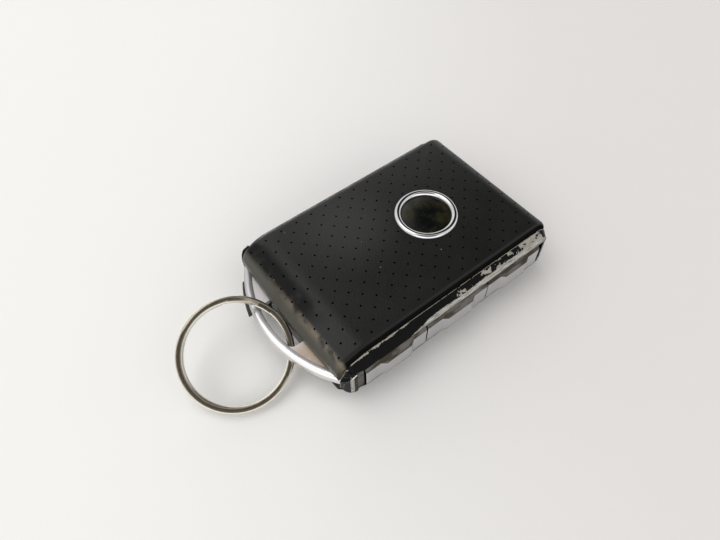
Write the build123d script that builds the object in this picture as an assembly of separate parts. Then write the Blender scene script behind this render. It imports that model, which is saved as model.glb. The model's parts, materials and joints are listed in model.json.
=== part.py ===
from build123d import *
import math
import os

# A keyless car key fob with a split key ring.
# Millimetres. The fob lies flat on its rear face, with +Z up. The origin is the middle of that face.
# +Y points away from the key ring, and +X towards the side with three buttons.

# Overall sizes of the closed body, without the loop for the ring
body_length = 69.0
body_width = 47.5
body_height = 16.5
end_bow = 0.9
corner_radius = 3.0

# Shells: each has two bevelled side rails and a wall under the soft panel
rail_width = 2.45
panel_thickness = 1.9
panel_edge_radius = 1.5
panel_side_gap = 0.05
panel_seat_gap = 0.05
shell_wall = 1.0
rail_wall = 1.45
slope_run = 8.2
slope_drop = 4.9
crest_inset = 2.1
crest_drop = 1.4
crest_radius = 4.2
shoulder_radius = 12.0
pocket_run = 6.4
far_roll_radius = 4.5
bevel_drop = 1.8
rail_lip = 0.5
parting_gap = 0.2
channel_far_inset = 3.7
cover_travel = 3.0

# Liner plates inside the shells
liner_thickness = 0.8
liner_seat_gap = 0.05
liner_run_gap = 0.1
liner_side_gap = 0.4
liner_border = 3.0
liner_far_gap = 1.75
liner_opening_gap = 0.6
liner_end_gap = 0.3

# Middle frame
channel_depth = 1.15
frame_wall = 1.2
frame_top_gap = 0.1
frame_far_gap = 0.4
frame_corner_step = 0.6
frame_corner_gap = 0.3
cap_gap = 0.15
end_wall_inset = 3.3

# Loop that the ring hangs on
loop_reach = 6.0
loop_root_inset = 1.1
loop_height = 3.0
loop_pocket_gap = 0.2
rim_width = 2.3
rim_edge_radius = 1.1
web_recess = 0.5
web_thickness = 1.2
web_back_gap = 0.05
window_half_width = 7.4
window_root_inset = 0.2
window_corner_radius = 1.8
window_rim_overlap = 0.2
stop_side_gap = 0.4
tongue_x = 13.0
tongue_width = 7.0
tongue_height = 2.0
tongue_length = 3.4
tongue_gap = 0.1
lug_wall = 0.5
pin_diameter = 1.5
pin_inset = 1.6

# Release catch under the loop
catch_side_inset = 5.25
catch_proud = 0.9
catch_floor = 0.5
catch_gap = 0.35
catch_travel = 1.6
catch_neck_width = 4.0
catch_hook_width = 7.0
catch_hook_length = 1.5
catch_wall_gap = 0.2

# Side buttons, from the ring end to the far end
button_near_inset = 6.3
button_far_inset = 5.0
button_end_shares = [0, 0.324, 0.674, 1]
button_gap = 0.35
button_back_gap = 0.6
button_pad_proud = 0.45
button_waist_proud = 1.15
button_lip_gap = 0.35
button_waist_step = 1.2
button_edge_radius = 0.25
waist_share = 0.40
waist_ramp_share = 0.07
stem_share = 0.60
flange_share = 0.75
stem_height = 2.8
flange_height = 3.8
flange_thickness = 0.5
flange_gap = 0.15
window_clearance = 0.15
button_travel = 0.5

# Silicone seals between the buttons and their switches
seal_wall = 0.7
seal_rim = 0.5
seal_frame_gap = 0.05
seal_flange_gap = 0.2

# Switches in notches of the board
switch_depth = 2.4
switch_length = 6.0
switch_height = 2.5
plunger_length = 2.6
plunger_height = 1.2
plunger_reach = 0.9
plunger_gap = 0.1

# Battery, its carrier, its round cap and the cap's seal
battery_diameter = 20.0
battery_height = 3.2
battery_y = -4.0
battery_gap = 0.35
can_step = 0.4
cap_border = 2.7
cap_side_gap = 0.2
cap_thickness = 1.65
cap_floor_gap = 0.3
cap_slot_length = 12.0
cap_slot_width = 1.6
cap_slot_depth = 0.7
cap_edge_radius = 0.3
lug_reach = 1.1
lug_thickness = 0.55
lug_angle = 30.0
lug_count = 3
lug_gap = 0.3
lug_entry_angle = 36.0
cap_turn = 40.0
seal_ring_width = 1.8
seal_ring_thickness = 0.3
carrier_gap = 0.05
carrier_near_inset = 10.2
carrier_roof = 0.75
well_wall = 1.0

# Circuit board and what it carries
board_thickness = 0.8
board_rise = 0.35
board_side_gap = 0.5
board_near_inset = 10.5
board_far_inset = 6.0
contact_thickness = 0.2
contact_width = 5.0
contact_gap = 0.05
chip_size = 6.0
chip_height = 0.8
chip_x = 8.0
chip_far_inset = 12.5
crystal_length = 3.2
crystal_width = 2.5
crystal_height = 0.7
crystal_x = 8.0
crystal_far_inset = 5.5
coil_width = 11.0
coil_length = 11.5
coil_height = 3.1
coil_x = -5.0
coil_far_inset = 9.5
coil_gap = 0.15
coil_step = 0.6

# Posts, tray and screws
post_inset = 2.95
post_near_inset = 13.0
post_far_inset = 8.5
post_radius = 1.6
shoulder_step = 0.7
post_hole_gap = 0.15
tray_thickness = 0.7
tray_switch_gap = 0.65
tray_near_inset = 8.3
tray_side_gap = 0.3
screw_head_radius = 1.5
screw_head_height = 0.7
screw_shank_radius = 0.8
screw_fit = 0.05
screw_length = 3.6
screw_slot_width = 0.4
screw_slot_depth = 0.3

# Emergency key blade in the tray
blade_width = 7.0
blade_thickness = 1.8
blade_far_inset = 6.5
blade_groove_width = 2.0
blade_groove_depth = 0.5
blade_tip_chamfer = 2.0
head_width = 14.0
head_length = 13.5
head_near_inset = 14.0
head_corner_radius = 2.5
head_hole_radius = 2.0
rib_width = 0.9
rib_height = 1.2
rib_length = 9.0
blade_gap = 0.15
blade_seat_gap = 0.1

# Badge: a plain bezel round a blank domed disc
badge_y = 10.7
badge_radius = 8.45
badge_band = 1.9
badge_proud = 0.8
badge_sink = 0.6
badge_gap = 0.05
disc_proud = 0.45

# Split ring of two turns
ring_outer_radius = 14.1
wire_width = 1.8
wire_height = 1.0
wire_corner_radius = 0.42
coil_clearance = 0.42
step_angle = 28.0
step_heading = 150.0
ring_near_x = 3.244
ring_window_gap = 0.64
ring_rim_gap = 1.92
ring_drop = 0.897
ring_heading = -16.2

# How far a cutting solid runs past what it cuts
overrun = 5.0

# Places that follow from the sizes above
half_length = body_length / 2
half_width = body_width / 2
mid_height = body_height / 2
panel_half = half_width - rail_width
lip_height = body_height - panel_thickness - bevel_drop - rail_lip
cavity_half = half_width - rail_wall
cavity_top = body_height - panel_thickness - shell_wall
cavity_bottom = body_height - cavity_top
channel_floor = half_width - channel_depth
channel_far_y = half_length - channel_far_inset
frame_inner = channel_floor - frame_wall
frame_top = lip_height - frame_top_gap
frame_bottom = body_height - frame_top
frame_far_y = half_length - panel_thickness - shell_wall - frame_far_gap
end_wall_y = end_wall_inset - half_length
end_wall_inner = end_wall_y + frame_wall
loop_top = mid_height + loop_height / 2
loop_bottom = mid_height - loop_height / 2
web_top = loop_top - web_recess
web_bottom = web_top - web_thickness
front_pocket_top = loop_top + loop_pocket_gap
catch_top = loop_bottom - catch_gap
catch_bottom = frame_bottom + catch_floor
catch_left = catch_side_inset - half_width
catch_right = -window_half_width - catch_travel
catch_neck_x = (catch_left + catch_right) / 2
rear_pocket_top = body_height - (catch_bottom - catch_gap)
loop_apex = -half_length - loop_reach
loop_root_y = loop_root_inset - half_length
window_root_y = window_root_inset - half_length
loop_sagitta = loop_root_y - loop_apex
loop_radius = (panel_half ** 2 + loop_sagitta ** 2) / (2 * loop_sagitta)
loop_centre_y = loop_apex + loop_radius
button_back = channel_floor + button_back_gap
button_near_y = button_near_inset - half_length
button_run = body_length - button_near_inset - button_far_inset
button_base = lip_height - mid_height - button_lip_gap
button_crest = button_base - button_waist_step
flange_outer = frame_inner - flange_gap
flange_inner = flange_outer - flange_thickness
seal_pocket = flange_inner - button_travel - seal_flange_gap
seal_inner = seal_pocket - seal_wall
plunger_tip = seal_inner - plunger_gap
switch_outer = plunger_tip - plunger_reach
switch_inner = switch_outer - switch_depth
cap_diameter = battery_diameter + 2 * cap_border
cap_bottom = cavity_bottom + cap_floor_gap
cap_top = cap_bottom + cap_thickness
carrier_bottom = cavity_bottom + liner_seat_gap + liner_thickness + liner_run_gap
lug_bottom = cap_top - lug_thickness
ledge_top = lug_bottom - contact_gap
battery_bottom = cap_top + contact_gap
battery_top = battery_bottom + battery_height
seal_ring_bottom = cap_top + contact_gap
carrier_web_bottom = seal_ring_bottom + seal_ring_thickness + contact_gap
carrier_top = carrier_web_bottom + carrier_roof
board_bottom = battery_top + board_rise
board_top = board_bottom + board_thickness
tray_bottom = mid_height + switch_height / 2 + tray_switch_gap
tray_top = tray_bottom + tray_thickness
blade_bottom = tray_top + blade_seat_gap
blade_top = blade_bottom + blade_thickness
head_near_y = head_near_inset - half_length
blade_near_y = head_near_y + head_length
blade_far_y = half_length - blade_far_inset
carrier_near_y = carrier_near_inset - half_length
board_near_y = board_near_inset - half_length
board_far_y = half_length - board_far_inset
chip_y = board_far_y - chip_far_inset
crystal_y = board_far_y - crystal_far_inset
coil_y = board_far_y - coil_far_inset
post_x = switch_inner - post_inset
post_near_y = post_near_inset - half_length
post_far_y = half_length - post_far_inset
tray_near_y = tray_near_inset - half_length


def block(x0, x1, y0, y1, z0, z1):
    """A box between two corners."""
    middle = Pos((x0 + x1) / 2, (y0 + y1) / 2, (z0 + z1) / 2)
    return middle * Box(x1 - x0, y1 - y0, z1 - z0)


def level_block(x0, x1, y0, y1, half_height):
    """A box between two corners in plan, as far above the middle height as below it."""
    return block(x0, x1, y0, y1, mid_height - half_height, mid_height + half_height)


def rod(radius, x, y, z0, z1):
    """An upright cylinder."""
    return Pos(x, y, (z0 + z1) / 2) * Cylinder(radius, z1 - z0)


def cover_profile(top_inset, far_inset):
    """Side outline of the front half, drawn in from the panel's outer face."""
    steep = math.atan2(slope_drop - crest_drop, crest_inset)
    gentle = math.atan2(crest_drop, slope_run - crest_inset)
    top = body_height - top_inset
    far = half_length - far_inset
    foot_z = body_height - slope_drop - top_inset / math.cos(steep)
    start_z = top - crest_drop + top_inset - top_inset / math.cos(gentle)
    low_y = (mid_height - foot_z) / math.tan(steep) - half_length
    high_y = crest_inset + (top - start_z) / math.tan(gentle) - half_length
    from_foot = start_z - foot_z - crest_inset * math.tan(gentle)
    crest_y = from_foot / (math.tan(steep) - math.tan(gentle))
    crest_z = foot_z + crest_y * math.tan(steep)
    crest = (crest_y - half_length, crest_z)
    with BuildSketch(Plane.YZ) as profile:
        with BuildLine():
            Polyline((low_y, mid_height), crest, (high_y, top), (far, top), (far, mid_height), close=True)
        make_face()
        middle = profile.vertices().group_by(Axis.Y)[1]
        fillet(middle, crest_radius - top_inset)
        shoulder = profile.vertices().group_by(Axis.Y)[-1].sort_by(Axis.X)[0]
        fillet(shoulder, shoulder_radius - top_inset)
        far_corner = profile.vertices().group_by(Axis.Y)[-1].sort_by(Axis.X)[-1]
        fillet(far_corner, far_roll_radius - far_inset)
    return profile.sketch


def side_edges(solid, direction):
    """Edges of the outermost side face, apart from the one at the middle height."""
    face = solid.faces().sort_by(Axis.X)[direction]
    return face, face.edges().sort_by(Axis.Z)[1:]


def plan_block():
    """The body's outline from above, full height."""
    straight = half_length - end_bow
    with BuildSketch() as plan:
        with BuildLine():
            ThreePointArc((-half_width, -straight), (0, -half_length), (half_width, -straight))
            Line((half_width, -straight), (half_width, straight))
            ThreePointArc((half_width, straight), (0, half_length), (-half_width, straight))
            Line((-half_width, straight), (-half_width, -straight))
        make_face()
        fillet(plan.vertices(), corner_radius)
    return extrude(plan.sketch, amount=body_height)


def ring_end_pocket(pocket_top):
    """Room at the ring end for the loop, cut from a shell and its panel."""
    near = -half_length - overrun
    return block(-half_width, half_width, near, -half_length + pocket_run, 0, pocket_top)


def below_parting():
    """Everything under the plane where the two shells meet."""
    wide = half_width + overrun
    deep = half_length + overrun
    return block(-wide, wide, -deep, deep, 0, mid_height + parting_gap / 2)


def shell(pocket_top):
    """Front shell: bevelled rails, the wall under the panel and a hollow inside."""
    rails = extrude(cover_profile(panel_thickness, 0), amount=half_width, both=True)
    for direction in (0, -1):
        face, edges = side_edges(rails, direction)
        rails = chamfer(edges, bevel_drop, half_width - panel_half, reference=face)
    deep = half_length + overrun
    rails = rails - block(-panel_half, panel_half, -deep, deep, 0, body_height)
    seat = panel_thickness + panel_seat_gap
    core = extrude(cover_profile(seat, seat), amount=panel_half, both=True)
    inset = panel_thickness + shell_wall
    hollow = extrude(cover_profile(inset, inset), amount=cavity_half, both=True)
    solid = ((rails + core) & plan_block()) - hollow
    for side in (-1, 1):
        inner, outer = sorted((side * panel_half, side * (half_width + overrun)))
        solid = solid - block(inner, outer, -deep, channel_far_y, 0, lip_height)
    return solid - ring_end_pocket(pocket_top) - below_parting()


def panel(pocket_top):
    """Front soft panel: a skin that slopes at the ring end and rolls over the far end."""
    side = panel_half - panel_side_gap
    skin = extrude(cover_profile(0, 0), amount=side, both=True)
    for direction in (0, -1):
        skin = fillet(side_edges(skin, direction)[1], panel_edge_radius)
    inside = extrude(cover_profile(panel_thickness, panel_thickness), amount=half_width, both=True)
    skin = (skin - inside) & plan_block()
    return skin - ring_end_pocket(pocket_top) - below_parting()


def badge_seat():
    """Round recess for the badge in the front panel."""
    bottom = body_height - badge_sink - badge_gap
    return rod(badge_radius + badge_gap, 0, badge_y, bottom, body_height + overrun)


def liner(opening_half, opening_near, opening_far):
    """Front liner: a flat plate against the shell's inner wall, open over what it passes."""
    top = cavity_top - liner_seat_gap
    bottom = top - liner_thickness
    side = cavity_half - liner_side_gap
    far = half_length - panel_thickness - shell_wall - liner_side_gap - liner_far_gap
    near = -half_length + pocket_run + liner_border
    plate = block(-side, side, near, far, bottom, top)
    hole = block(-opening_half, opening_half, opening_near, opening_far, bottom, top)
    return plate - hole


def to_rear(solid):
    """The same solid for the rear half."""
    return mirror(solid, about=Plane.XY.offset(mid_height))


def loop_disc(inset, z0, z1):
    """The disc whose edge is the loop's outer arc."""
    return rod(loop_radius - inset, 0, loop_centre_y, z0, z1)


def end_cap(side):
    """Rounded end of the frame beside the loop."""
    radius = (frame_top - frame_bottom) / 2
    inner = side * (panel_half + cap_gap)
    outer = side * half_width
    middle_y = -half_length + end_bow / 2 + radius
    cylinder = Rot(0, 90, 0) * Cylinder(radius, abs(outer - inner))
    nose = Pos((inner + outer) / 2, middle_y, mid_height) * cylinder
    back = middle_y - cap_gap
    low, high = sorted((inner, outer))
    keep = block(low, high, back - 2 * radius, back, frame_bottom, frame_top)
    low, high = sorted((side * frame_inner, outer))
    root = block(low, high, end_wall_y, back, frame_bottom + rail_lip, frame_top - rail_lip)
    return ((nose & keep) + root) & plan_block()


def lug_block(side):
    """Frame lug that a tongue of the loop is pinned in."""
    half = tongue_width / 2 + lug_wall
    slot_low = mid_height - tongue_height / 2 - tongue_gap
    slot_high = mid_height + tongue_height / 2 + tongue_gap
    centre = side * tongue_x
    low = slot_low - lug_wall
    far = end_wall_y + tongue_length + lug_wall
    return block(centre - half, centre + half, end_wall_y, far, low, slot_high + lug_wall)


def tongue(side, gap):
    """Tongue of the loop that goes through the frame's end wall."""
    half = tongue_width / 2 + gap
    tall = tongue_height / 2 + gap
    centre = side * tongue_x
    near = end_wall_y - web_back_gap
    far = end_wall_y + tongue_length + gap
    return level_block(centre - half, centre + half, near, far, tall)


def pin_place(side):
    """Axis of the pin that holds a tongue."""
    return side * tongue_x, end_wall_y + pin_inset + frame_wall / 2


def pins(gap):
    """The two pins through the loop's tongues."""
    shapes = []
    low = mid_height - tongue_height / 2 - tongue_gap - lug_wall
    high = mid_height + tongue_height / 2 + tongue_gap + lug_wall
    for side in (-1, 1):
        x, y = pin_place(side)
        shapes.append(rod(pin_diameter / 2 + gap, x, y, low, high))
    return shapes


def button_spans():
    """Start and end of each button along the channel."""
    ends = [button_near_y + share * button_run for share in button_end_shares]
    return [(a + button_gap / 2, b - button_gap / 2) for a, b in zip(ends[:-1], ends[1:])]


def stem_span(span, share):
    """The middle share of a button's length."""
    middle = (span[0] + span[1]) / 2
    half = (span[1] - span[0]) * share / 2
    return middle - half, middle + half


def middle_frame():
    """Frame between the shells, with the button channel, the end wall and the caps."""
    ring = block(-channel_floor, channel_floor, end_wall_y, frame_far_y, frame_bottom, frame_top)
    inside = block(-frame_inner, frame_inner, end_wall_inner, frame_far_y - frame_wall, 0, body_height)
    solid = ring - inside
    wall_top = front_pocket_top - frame_top_gap
    wall_bottom = catch_bottom - catch_gap / 2
    solid = solid - block(-frame_inner, frame_inner, end_wall_y, end_wall_inner, wall_top, frame_top)
    solid = solid - block(-frame_inner, frame_inner, end_wall_y, end_wall_inner, frame_bottom, wall_bottom)
    for side in (-1, 1):
        low, high = sorted((side * (channel_floor - frame_corner_step), side * half_width))
        solid = solid - block(low, high, channel_far_y - frame_corner_gap, frame_far_y, 0, body_height)
        solid = solid + end_cap(side) + lug_block(side)
    stop_half = window_half_width - stop_side_gap
    stop = block(-stop_half, stop_half, window_root_y, end_wall_y, catch_bottom, wall_top)
    solid = solid + (stop & plan_block())
    for side in (-1, 1):
        solid = solid - tongue(side, tongue_gap)
    for hole in pins(0):
        solid = solid - hole
    for span in button_spans():
        near, far = stem_span(span, stem_share)
        tall = stem_height / 2 + window_clearance
        near, far = near - window_clearance, far + window_clearance
        solid = solid - level_block(frame_inner, channel_floor, near, far, tall)
    near, far = stem_span(button_spans()[1], stem_share)
    near, far = near - window_clearance, far + window_clearance
    solid = solid - level_block(-channel_floor, -frame_inner, near, far, tall)
    slot_left = catch_neck_x - catch_neck_width / 2 - catch_wall_gap
    slot_right = catch_neck_x + catch_neck_width / 2 + catch_travel + catch_wall_gap
    return solid - block(slot_left, slot_right, end_wall_y, end_wall_inner, 0, catch_top + catch_gap)


def loop_rim():
    """Rounded rim along the loop's outer arc."""
    with BuildSketch(Plane.XZ) as section:
        with Locations((loop_radius - rim_width / 2, mid_height)):
            RectangleRounded(rim_width, loop_height, rim_edge_radius)
    rim = Pos(0, loop_centre_y, 0) * revolve(section.sketch, Axis.Z)
    near = loop_apex - overrun
    back = end_wall_y - web_back_gap
    return rim & block(-panel_half, panel_half, near, back, loop_bottom, loop_top)


def key_ring_loop():
    """Die-cast loop: a rounded rim, thin webs beside a window, and two tongues with their roots."""
    back = end_wall_y - web_back_gap
    plate = loop_disc(rim_width / 2, web_bottom, web_top)
    plate = plate & block(-panel_half, panel_half, loop_apex, back, web_bottom, web_top)
    window = block(-window_half_width, window_half_width, loop_apex, back, web_bottom, web_top)
    window = window & loop_disc(rim_width - window_rim_overlap, web_bottom, web_top)
    window = fillet(window.edges().filter_by(Axis.Z).group_by(Axis.Y)[0], window_corner_radius)
    solid = loop_rim() + (plate - window)
    for side in (-1, 1):
        solid = solid + tongue(side, 0)
        half = tongue_width / 2
        centre = side * tongue_x
        low = mid_height - tongue_height / 2
        solid = solid + block(centre - half, centre + half, loop_root_y, back, low, web_top)
    for hole in pins(0):
        solid = solid - hole
    return solid


def release_catch():
    """Sliding catch under the loop, with a neck and a hook behind the frame's end wall."""
    outside = loop_disc(-catch_proud, catch_bottom, catch_top)
    near = loop_apex - overrun
    far = end_wall_y - catch_wall_gap
    outside = outside & block(catch_left, catch_right, near, far, catch_bottom, catch_top)
    neck_left = catch_neck_x - catch_neck_width / 2
    hook_left = catch_neck_x - catch_hook_width / 2
    hook_near = end_wall_inner + catch_wall_gap
    neck = block(neck_left, neck_left + catch_neck_width, far, hook_near, catch_bottom, catch_top)
    hook = block(hook_left, hook_left + catch_hook_width, hook_near, hook_near + catch_hook_length,
                 catch_bottom, catch_top)
    return outside + neck + hook


def button(span):
    """A right-hand button: low pads at its ends, a proud waist, a stem and a flange."""
    near, far = span
    length = far - near
    middle = (near + far) / 2
    waist = length * waist_share / 2
    ramp = waist + length * waist_ramp_share
    pad_x = half_width + button_pad_proud
    waist_x = half_width + button_waist_proud
    with BuildSketch() as plan:
        with BuildLine():
            Polyline((button_back, near), (pad_x, near), (pad_x, middle - ramp),
                     (waist_x, middle - waist), (waist_x, middle + waist),
                     (pad_x, middle + ramp), (pad_x, far), (button_back, far), close=True)
        make_face()
    face = extrude(plan.sketch, amount=body_height)
    with BuildSketch(Plane.XZ) as section:
        with BuildLine():
            Polyline((button_back, mid_height - button_base),
                     (waist_x, mid_height - button_crest), (waist_x, mid_height + button_crest),
                     (button_back, mid_height + button_base), close=True)
        make_face()
    face = face & extrude(section.sketch, amount=half_length, both=True)
    outer_edges = face.edges().filter_by(lambda edge: edge.center().X > pad_x - button_edge_radius)
    face = fillet(outer_edges, button_edge_radius)
    stem_near, stem_far = stem_span(span, stem_share)
    stem = level_block(flange_inner, button_back, stem_near, stem_far, stem_height / 2)
    flange_near, flange_far = stem_span(span, flange_share)
    flange = level_block(flange_inner, flange_outer, flange_near, flange_far, flange_height / 2)
    return face + stem + flange


def button_seal(spans):
    """A right-hand silicone seal: a thin wall with a pocket behind each button's flange."""
    outer = frame_inner - seal_frame_gap
    tall = flange_height / 2 + seal_flange_gap
    near = stem_span(spans[0], flange_share)[0] - seal_flange_gap - seal_rim
    far = stem_span(spans[-1], flange_share)[1] + seal_flange_gap + seal_rim
    solid = level_block(seal_inner, outer, near, far, tall + seal_rim)
    for span in spans:
        near, far = stem_span(span, flange_share)
        solid = solid - level_block(seal_pocket, outer, near - seal_flange_gap, far + seal_flange_gap, tall)
    return solid


def side_switch(span):
    """A right-hand push switch that sits in a notch of the board."""
    middle = (span[0] + span[1]) / 2
    half = switch_length / 2
    body = level_block(switch_inner, switch_outer, middle - half, middle + half, switch_height / 2)
    half = plunger_length / 2
    return body + level_block(switch_outer, plunger_tip, middle - half, middle + half, plunger_height / 2)


def to_left(solid):
    """The same solid for the left side."""
    return mirror(solid, about=Plane.YZ)


def trim_strip(span):
    """A fixed left-hand strip that closes the channel where there is no button."""
    near, far = span
    pad_x = half_width + button_pad_proud / 2
    with BuildSketch(Plane.XZ) as section:
        with BuildLine():
            Polyline((channel_floor, mid_height - button_base),
                     (pad_x, mid_height - button_crest), (pad_x, mid_height + button_crest),
                     (channel_floor, mid_height + button_base), close=True)
        make_face()
    strip = Pos(0, far, 0) * extrude(section.sketch, amount=far - near)
    return to_left(strip)


def post_places():
    """Places of the posts that carry the board and the tray."""
    return [(side * post_x, y) for side in (-1, 1) for y in (post_near_y, post_far_y)]


def battery_carrier():
    """Rear plate of the housing: a bayonet mouth for the cap, a battery well and four posts."""
    side = frame_inner - carrier_gap
    far = frame_far_y - frame_wall - carrier_gap
    mouth = cap_diameter / 2 + cap_side_gap
    solid = block(-side, side, carrier_near_y, far, carrier_bottom, carrier_web_bottom)
    solid = solid + rod(mouth + lug_reach + well_wall, 0, battery_y, carrier_bottom, carrier_top)
    well_radius = battery_diameter / 2 + battery_gap
    board_seat = board_bottom - contact_thickness - contact_gap
    solid = solid + rod(well_radius + well_wall, 0, battery_y, carrier_bottom, board_seat)
    for x, y in post_places():
        solid = solid + rod(post_radius + shoulder_step, x, y, carrier_bottom, board_bottom)
        solid = solid + rod(post_radius, x, y, board_bottom, tray_bottom)
    solid = solid - rod(mouth, 0, battery_y, 0, carrier_web_bottom)
    solid = solid - rod(mouth + lug_reach, 0, battery_y, ledge_top, carrier_web_bottom)
    solid = solid - rod(well_radius, 0, battery_y, 0, board_bottom)
    solid = solid - lug_ring(mouth + lug_reach, 0, ledge_top, lug_entry_angle, cap_turn)
    notch = contact_width / 2 + contact_gap
    notch_end = well_radius + well_wall + contact_thickness
    solid = solid - block(0, notch_end, battery_y - notch, battery_y + notch, carrier_top, board_bottom)
    for x, y in post_places():
        solid = solid - rod(screw_shank_radius + screw_fit, x, y, tray_bottom - screw_length, tray_bottom)
    return solid


def round_point(radius, degrees):
    """A point in plan, at that distance and angle from the middle."""
    return radius * math.cos(math.radians(degrees)), radius * math.sin(math.radians(degrees))


def lug_ring(radius, z0, z1, angle, turned):
    """Sectors of a disc, one for each lug of the cap."""
    sector = None
    for index in range(lug_count):
        start = index * 360 / lug_count + turned - angle / 2
        with BuildSketch(Plane.XY.offset(z0)) as wedge:
            with BuildLine():
                first = round_point(radius, start)
                middle = round_point(radius, start + angle / 2)
                last = round_point(radius, start + angle)
                Line((0, 0), first)
                ThreePointArc(first, middle, last)
                Line(last, (0, 0))
            make_face()
        piece = Pos(0, battery_y, 0) * extrude(wedge.sketch, amount=z1 - z0)
        sector = piece if sector is None else sector + piece
    return sector


def battery_cap():
    """Round bayonet cap with three lugs and a coin slot on its outer face."""
    radius = cap_diameter / 2
    disc = rod(radius, 0, battery_y, cap_bottom, cap_top)
    disc = fillet(disc.edges().sort_by(Axis.Z)[0], cap_edge_radius)
    disc = disc + lug_ring(radius + lug_reach - lug_gap, lug_bottom, cap_top, lug_angle, 0)
    half = cap_slot_length / 2
    slot = block(-half, half, battery_y - cap_slot_width / 2, battery_y + cap_slot_width / 2,
                 cap_bottom, cap_bottom + cap_slot_depth)
    return disc - slot


def cap_seal():
    """Flat seal ring between the cap and the carrier."""
    inner = battery_diameter / 2 + battery_gap
    top = seal_ring_bottom + seal_ring_thickness
    outside = rod(inner + seal_ring_width, 0, battery_y, seal_ring_bottom, top)
    return outside - rod(inner, 0, battery_y, seal_ring_bottom, top)


def battery():
    """Coin cell with the step of its can."""
    radius = battery_diameter / 2
    can = rod(radius, 0, battery_y, battery_bottom, battery_top - can_step)
    return can + rod(radius - 2 * can_step, 0, battery_y, battery_top - can_step, battery_top)


def plus_contact():
    """Spring strip from the board down the side of the cell."""
    inner = battery_diameter / 2 + contact_gap
    half = contact_width / 2
    top = board_bottom - contact_gap
    upright = block(inner, inner + contact_thickness, battery_y - half, battery_y + half, carrier_top, top)
    foot = block(inner, inner + well_wall + contact_thickness, battery_y - half, battery_y + half,
                 top - contact_thickness, top)
    return upright + foot


def minus_contact():
    """Leaf under the board that rests on the middle of the cell."""
    half = contact_width / 2
    top = board_bottom - contact_gap
    leaf = block(-half * 2, half * 2, battery_y - half, battery_y + half, top - contact_thickness, top)
    return leaf + rod(half, 0, battery_y, battery_top + contact_gap, top - contact_thickness)


def circuit_board():
    """Board with notches for the switches, holes for the posts and an opening for the coil."""
    side = seal_inner - board_side_gap
    solid = block(-side, side, board_near_y, board_far_y, board_bottom, board_top)
    notch = switch_length / 2 + coil_gap
    for span in button_spans():
        middle = (span[0] + span[1]) / 2
        solid = solid - block(switch_inner - coil_gap, side, middle - notch, middle + notch, 0, body_height)
    middle = sum(button_spans()[1]) / 2
    solid = solid - block(-side, coil_gap - switch_inner, middle - notch, middle + notch, 0, body_height)
    for x, y in post_places():
        solid = solid - rod(post_radius + post_hole_gap, x, y, 0, body_height)
    half_x = coil_width / 2 + coil_gap
    half_y = coil_length / 2 + coil_gap
    return solid - block(coil_x - half_x, coil_x + half_x, coil_y - half_y, coil_y + half_y, 0, body_height)


def on_board(length, width, height, x, y):
    """A flat package on the board's upper face."""
    half_x = width / 2
    half_y = length / 2
    return block(x - half_x, x + half_x, y - half_y, y + half_y, board_top, board_top + height)


def antenna_coil():
    """Block of the three-way antenna coil in the board's opening."""
    top = tray_bottom - contact_gap
    left = coil_x - coil_width / 2
    near = coil_y - coil_length / 2
    core = block(left, left + coil_width, near, near + coil_length, top - coil_height, top)
    step = block(left, left + coil_width, near, near + coil_step, top - coil_step, top)
    return core - step


def blade_tray():
    """Front plate of the housing, with ribs that hold the key blade."""
    side = seal_inner - tray_side_gap
    far = frame_far_y - frame_wall - carrier_gap
    solid = block(-side, side, tray_near_y, far, tray_bottom, tray_top)
    for x, y in post_places():
        solid = solid - rod(screw_shank_radius + post_hole_gap, x, y, tray_bottom, tray_top)
    for direction in (-1, 1):
        for half, start in ((blade_width / 2, blade_near_y + rib_length / 2),
                            (blade_width / 2, blade_far_y - 3 * rib_length / 2),
                            (head_width / 2, head_near_y + head_length / 2 - rib_length / 2)):
            low, high = sorted((direction * (half + blade_gap), direction * (half + blade_gap + rib_width)))
            solid = solid + block(low, high, start, start + rib_length, tray_top, tray_top + rib_height)
    return solid


def tray_screws():
    """Four small screws through the tray into the posts."""
    shapes = []
    for x, y in post_places():
        shank = rod(screw_shank_radius, x, y, tray_top - screw_length, tray_top)
        head = rod(screw_head_radius, x, y, tray_top, tray_top + screw_head_height)
        half = screw_slot_width / 2
        slot_bottom = tray_top + screw_head_height - screw_slot_depth
        slot = block(x - screw_head_radius, x + screw_head_radius, y - half, y + half,
                     slot_bottom, tray_top + screw_head_height)
        shapes.append(shank + head - slot)
    return Compound(children=shapes)


def key_blade():
    """Emergency blade with a groove on each face and a chamfered tip."""
    half = blade_width / 2
    solid = block(-half, half, blade_near_y, blade_far_y, blade_bottom, blade_top)
    solid = chamfer(solid.edges().filter_by(Axis.Z).group_by(Axis.Y)[-1], blade_tip_chamfer)
    groove = blade_groove_width / 2
    near = blade_near_y + blade_groove_width
    solid = solid - block(-groove, groove, near, blade_far_y, blade_top - blade_groove_depth, blade_top)
    lower = blade_bottom + blade_groove_depth
    return solid - block(-groove, groove, near, blade_far_y, blade_bottom, lower)


def blade_head():
    """Plastic head on the blade's root, with a hole for a cord."""
    half = head_width / 2
    solid = block(-half, half, head_near_y, blade_near_y, blade_bottom, blade_top)
    solid = fillet(solid.edges().filter_by(Axis.Z).group_by(Axis.Y)[0], head_corner_radius)
    hole_y = head_near_y + head_corner_radius + head_hole_radius
    return solid - rod(head_hole_radius, 0, hole_y, blade_bottom, blade_top)


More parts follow.
